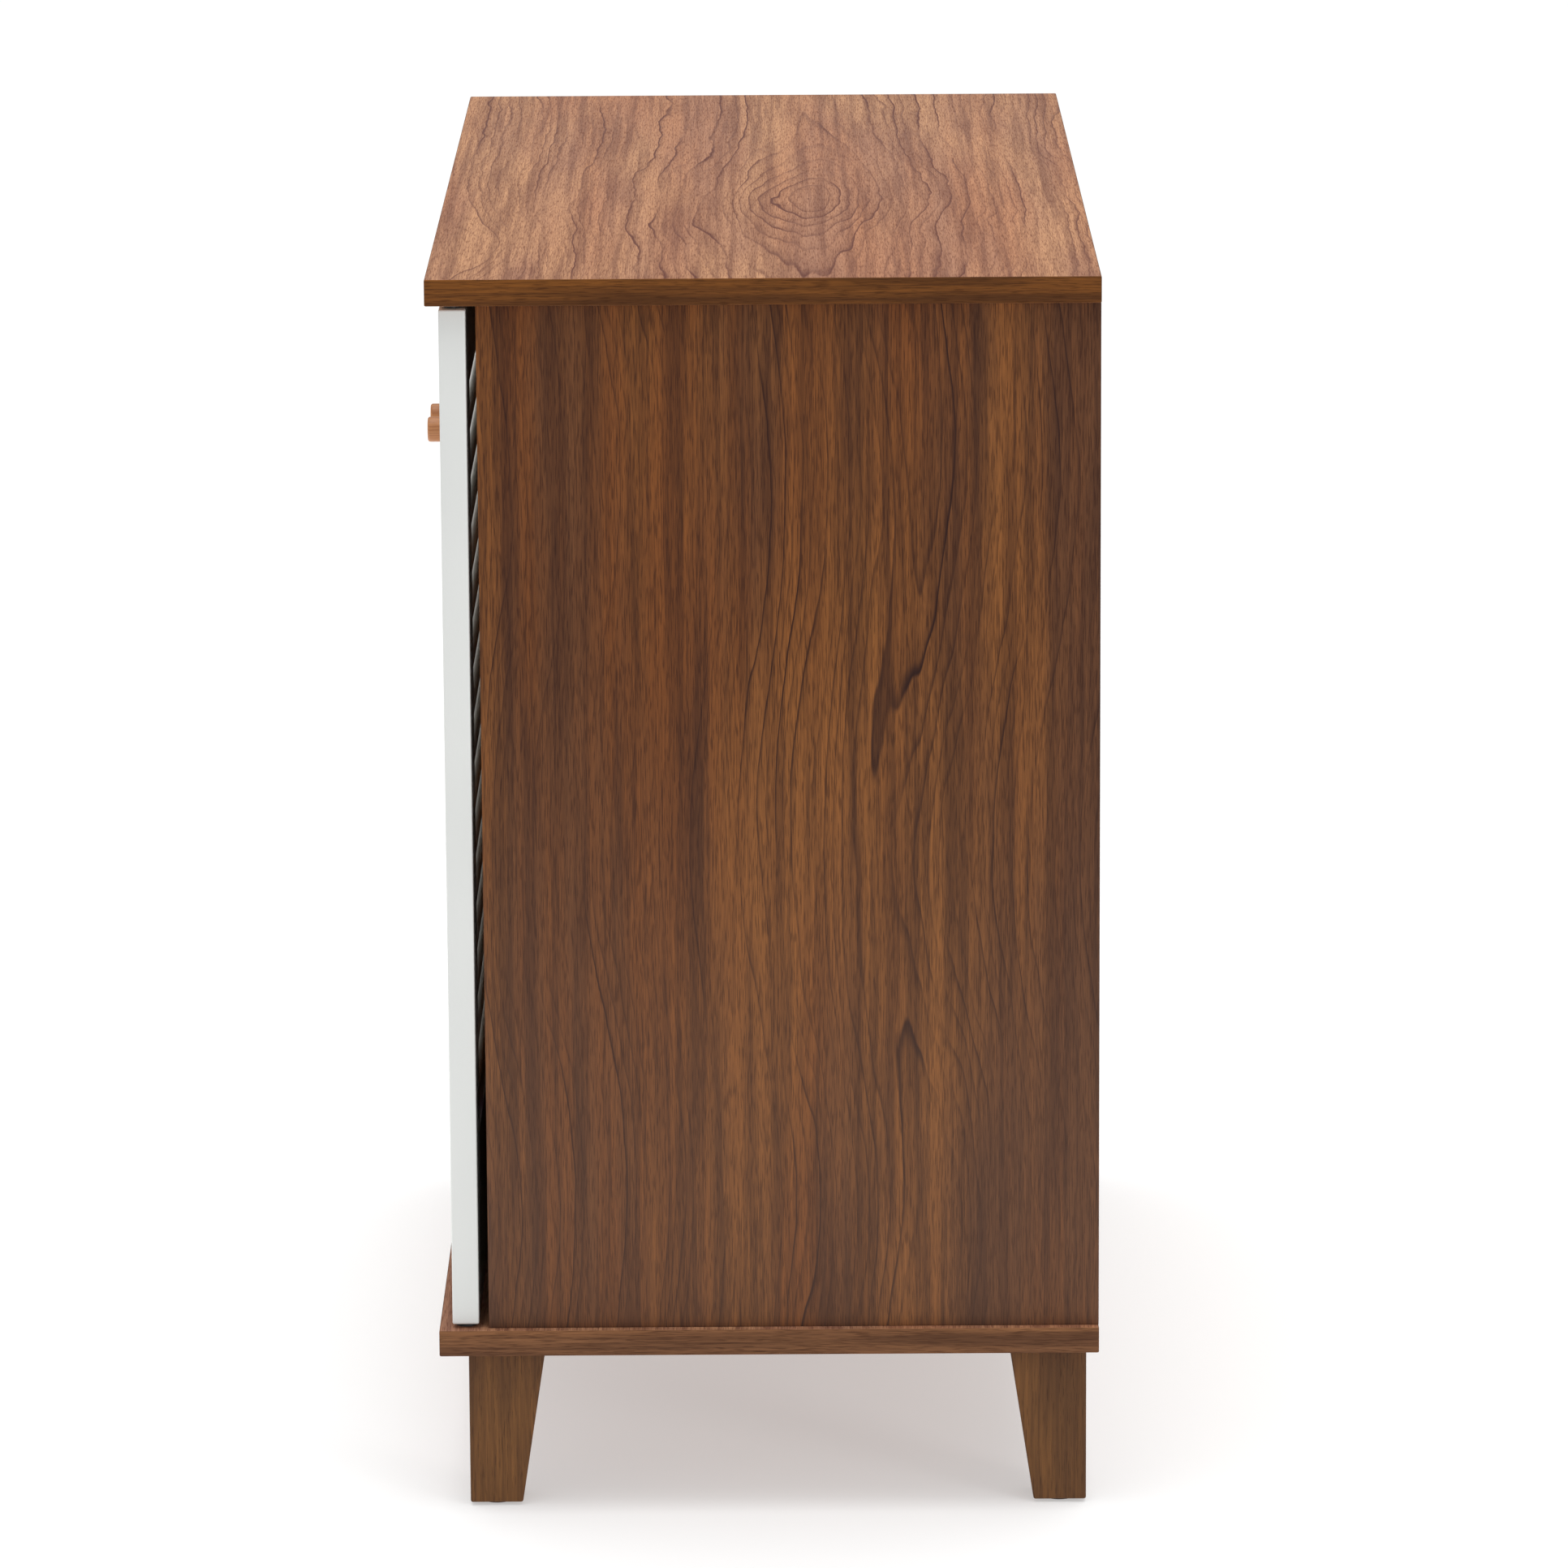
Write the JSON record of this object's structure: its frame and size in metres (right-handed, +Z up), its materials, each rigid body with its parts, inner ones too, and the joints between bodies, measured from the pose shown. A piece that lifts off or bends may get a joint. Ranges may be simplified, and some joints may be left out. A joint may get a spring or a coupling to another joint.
{
  "type": "shoe cabinet",
  "caption": "Free-standing shoe cabinet with white louvred doors on pivot pins, walnut-veneered panels, adjustable shelves and tapered wooden legs.",
  "frame": {"origin": "on the floor, at the centre of the cabinet's overall box, knobs included", "axes": "+Z up, doors face -Y, +X to the right when facing the doors"},
  "size_m": [0.8, 0.4144, 0.76],
  "materials": {
    "walnut_top": "walnut veneer, satin lacquer, figured",
    "walnut_side": "walnut veneer, satin lacquer, straight grain",
    "walnut_shelf": "walnut foil on board, satin",
    "back_board": "hardboard, matt",
    "leg_wood": "solid wood, walnut stain, satin",
    "knob_wood": "turned wood, oiled",
    "white_lacquer": "painted, satin white lacquer",
    "beech": "bare beech",
    "plated_steel": "zinc plated",
    "cast_zinc": "die-cast zinc, dull",
    "black_nylon": "moulded nylon",
    "brown_plastic": "moulded plastic",
    "magnet": "ferrite magnet with steel pole plates"
  },
  "bodies": {
    "carcass": {"top_panel": "walnut_top", "bottom_panel": "walnut_side", "left_side_panel": "walnut_side", "right_side_panel": "walnut_side", "back_panel": "back_board", "upper_shelf": "walnut_shelf", "middle_shelf": "walnut_shelf", "lower_shelf": "walnut_shelf", "shelf_pins": "plated_steel", "front_left_leg": "leg_wood", "front_right_leg": "leg_wood", "back_left_leg": "leg_wood", "back_right_leg": "leg_wood", "leg_inserts": "plated_steel", "leg_bolts": "plated_steel", "leg_glides": "black_nylon", "cam_locks": "cast_zinc", "cam_posts": "plated_steel", "panel_dowels": "beech", "back_nails": "plated_steel", "pivot_bushes": "black_nylon", "catch_housing": "brown_plastic", "catch_magnets": "magnet", "catch_screws": "plated_steel"},
    "left_door": {"left_hinge_stile": "white_lacquer", "left_meeting_stile": "white_lacquer", "left_top_rail": "white_lacquer", "left_bottom_rail": "white_lacquer", "left_slats": "white_lacquer", "left_rail_dowels": "beech", "left_pivot_pins": "plated_steel", "left_knob": "knob_wood", "left_knob_screw": "plated_steel", "left_strike_plate": "plated_steel", "left_strike_screw": "plated_steel"},
    "right_door": {"right_hinge_stile": "white_lacquer", "right_meeting_stile": "white_lacquer", "right_top_rail": "white_lacquer", "right_bottom_rail": "white_lacquer", "right_slats": "white_lacquer", "right_rail_dowels": "beech", "right_pivot_pins": "plated_steel", "right_knob": "knob_wood", "right_knob_screw": "plated_steel", "right_strike_plate": "plated_steel", "right_strike_screw": "plated_steel"}
  },
  "joints": [
    {"name": "left_door_hinge", "type": "hinge", "parent": "carcass", "child": "left_door", "pos_m": [-0.384, -0.17675, 0.43], "axis": [0, 0, -1], "range_deg": [0, 180]},
    {"name": "right_door_hinge", "type": "hinge", "parent": "carcass", "child": "right_door", "pos_m": [0.384, -0.17675, 0.43], "axis": [0, 0, 1], "range_deg": [0, 180]}
  ]
}
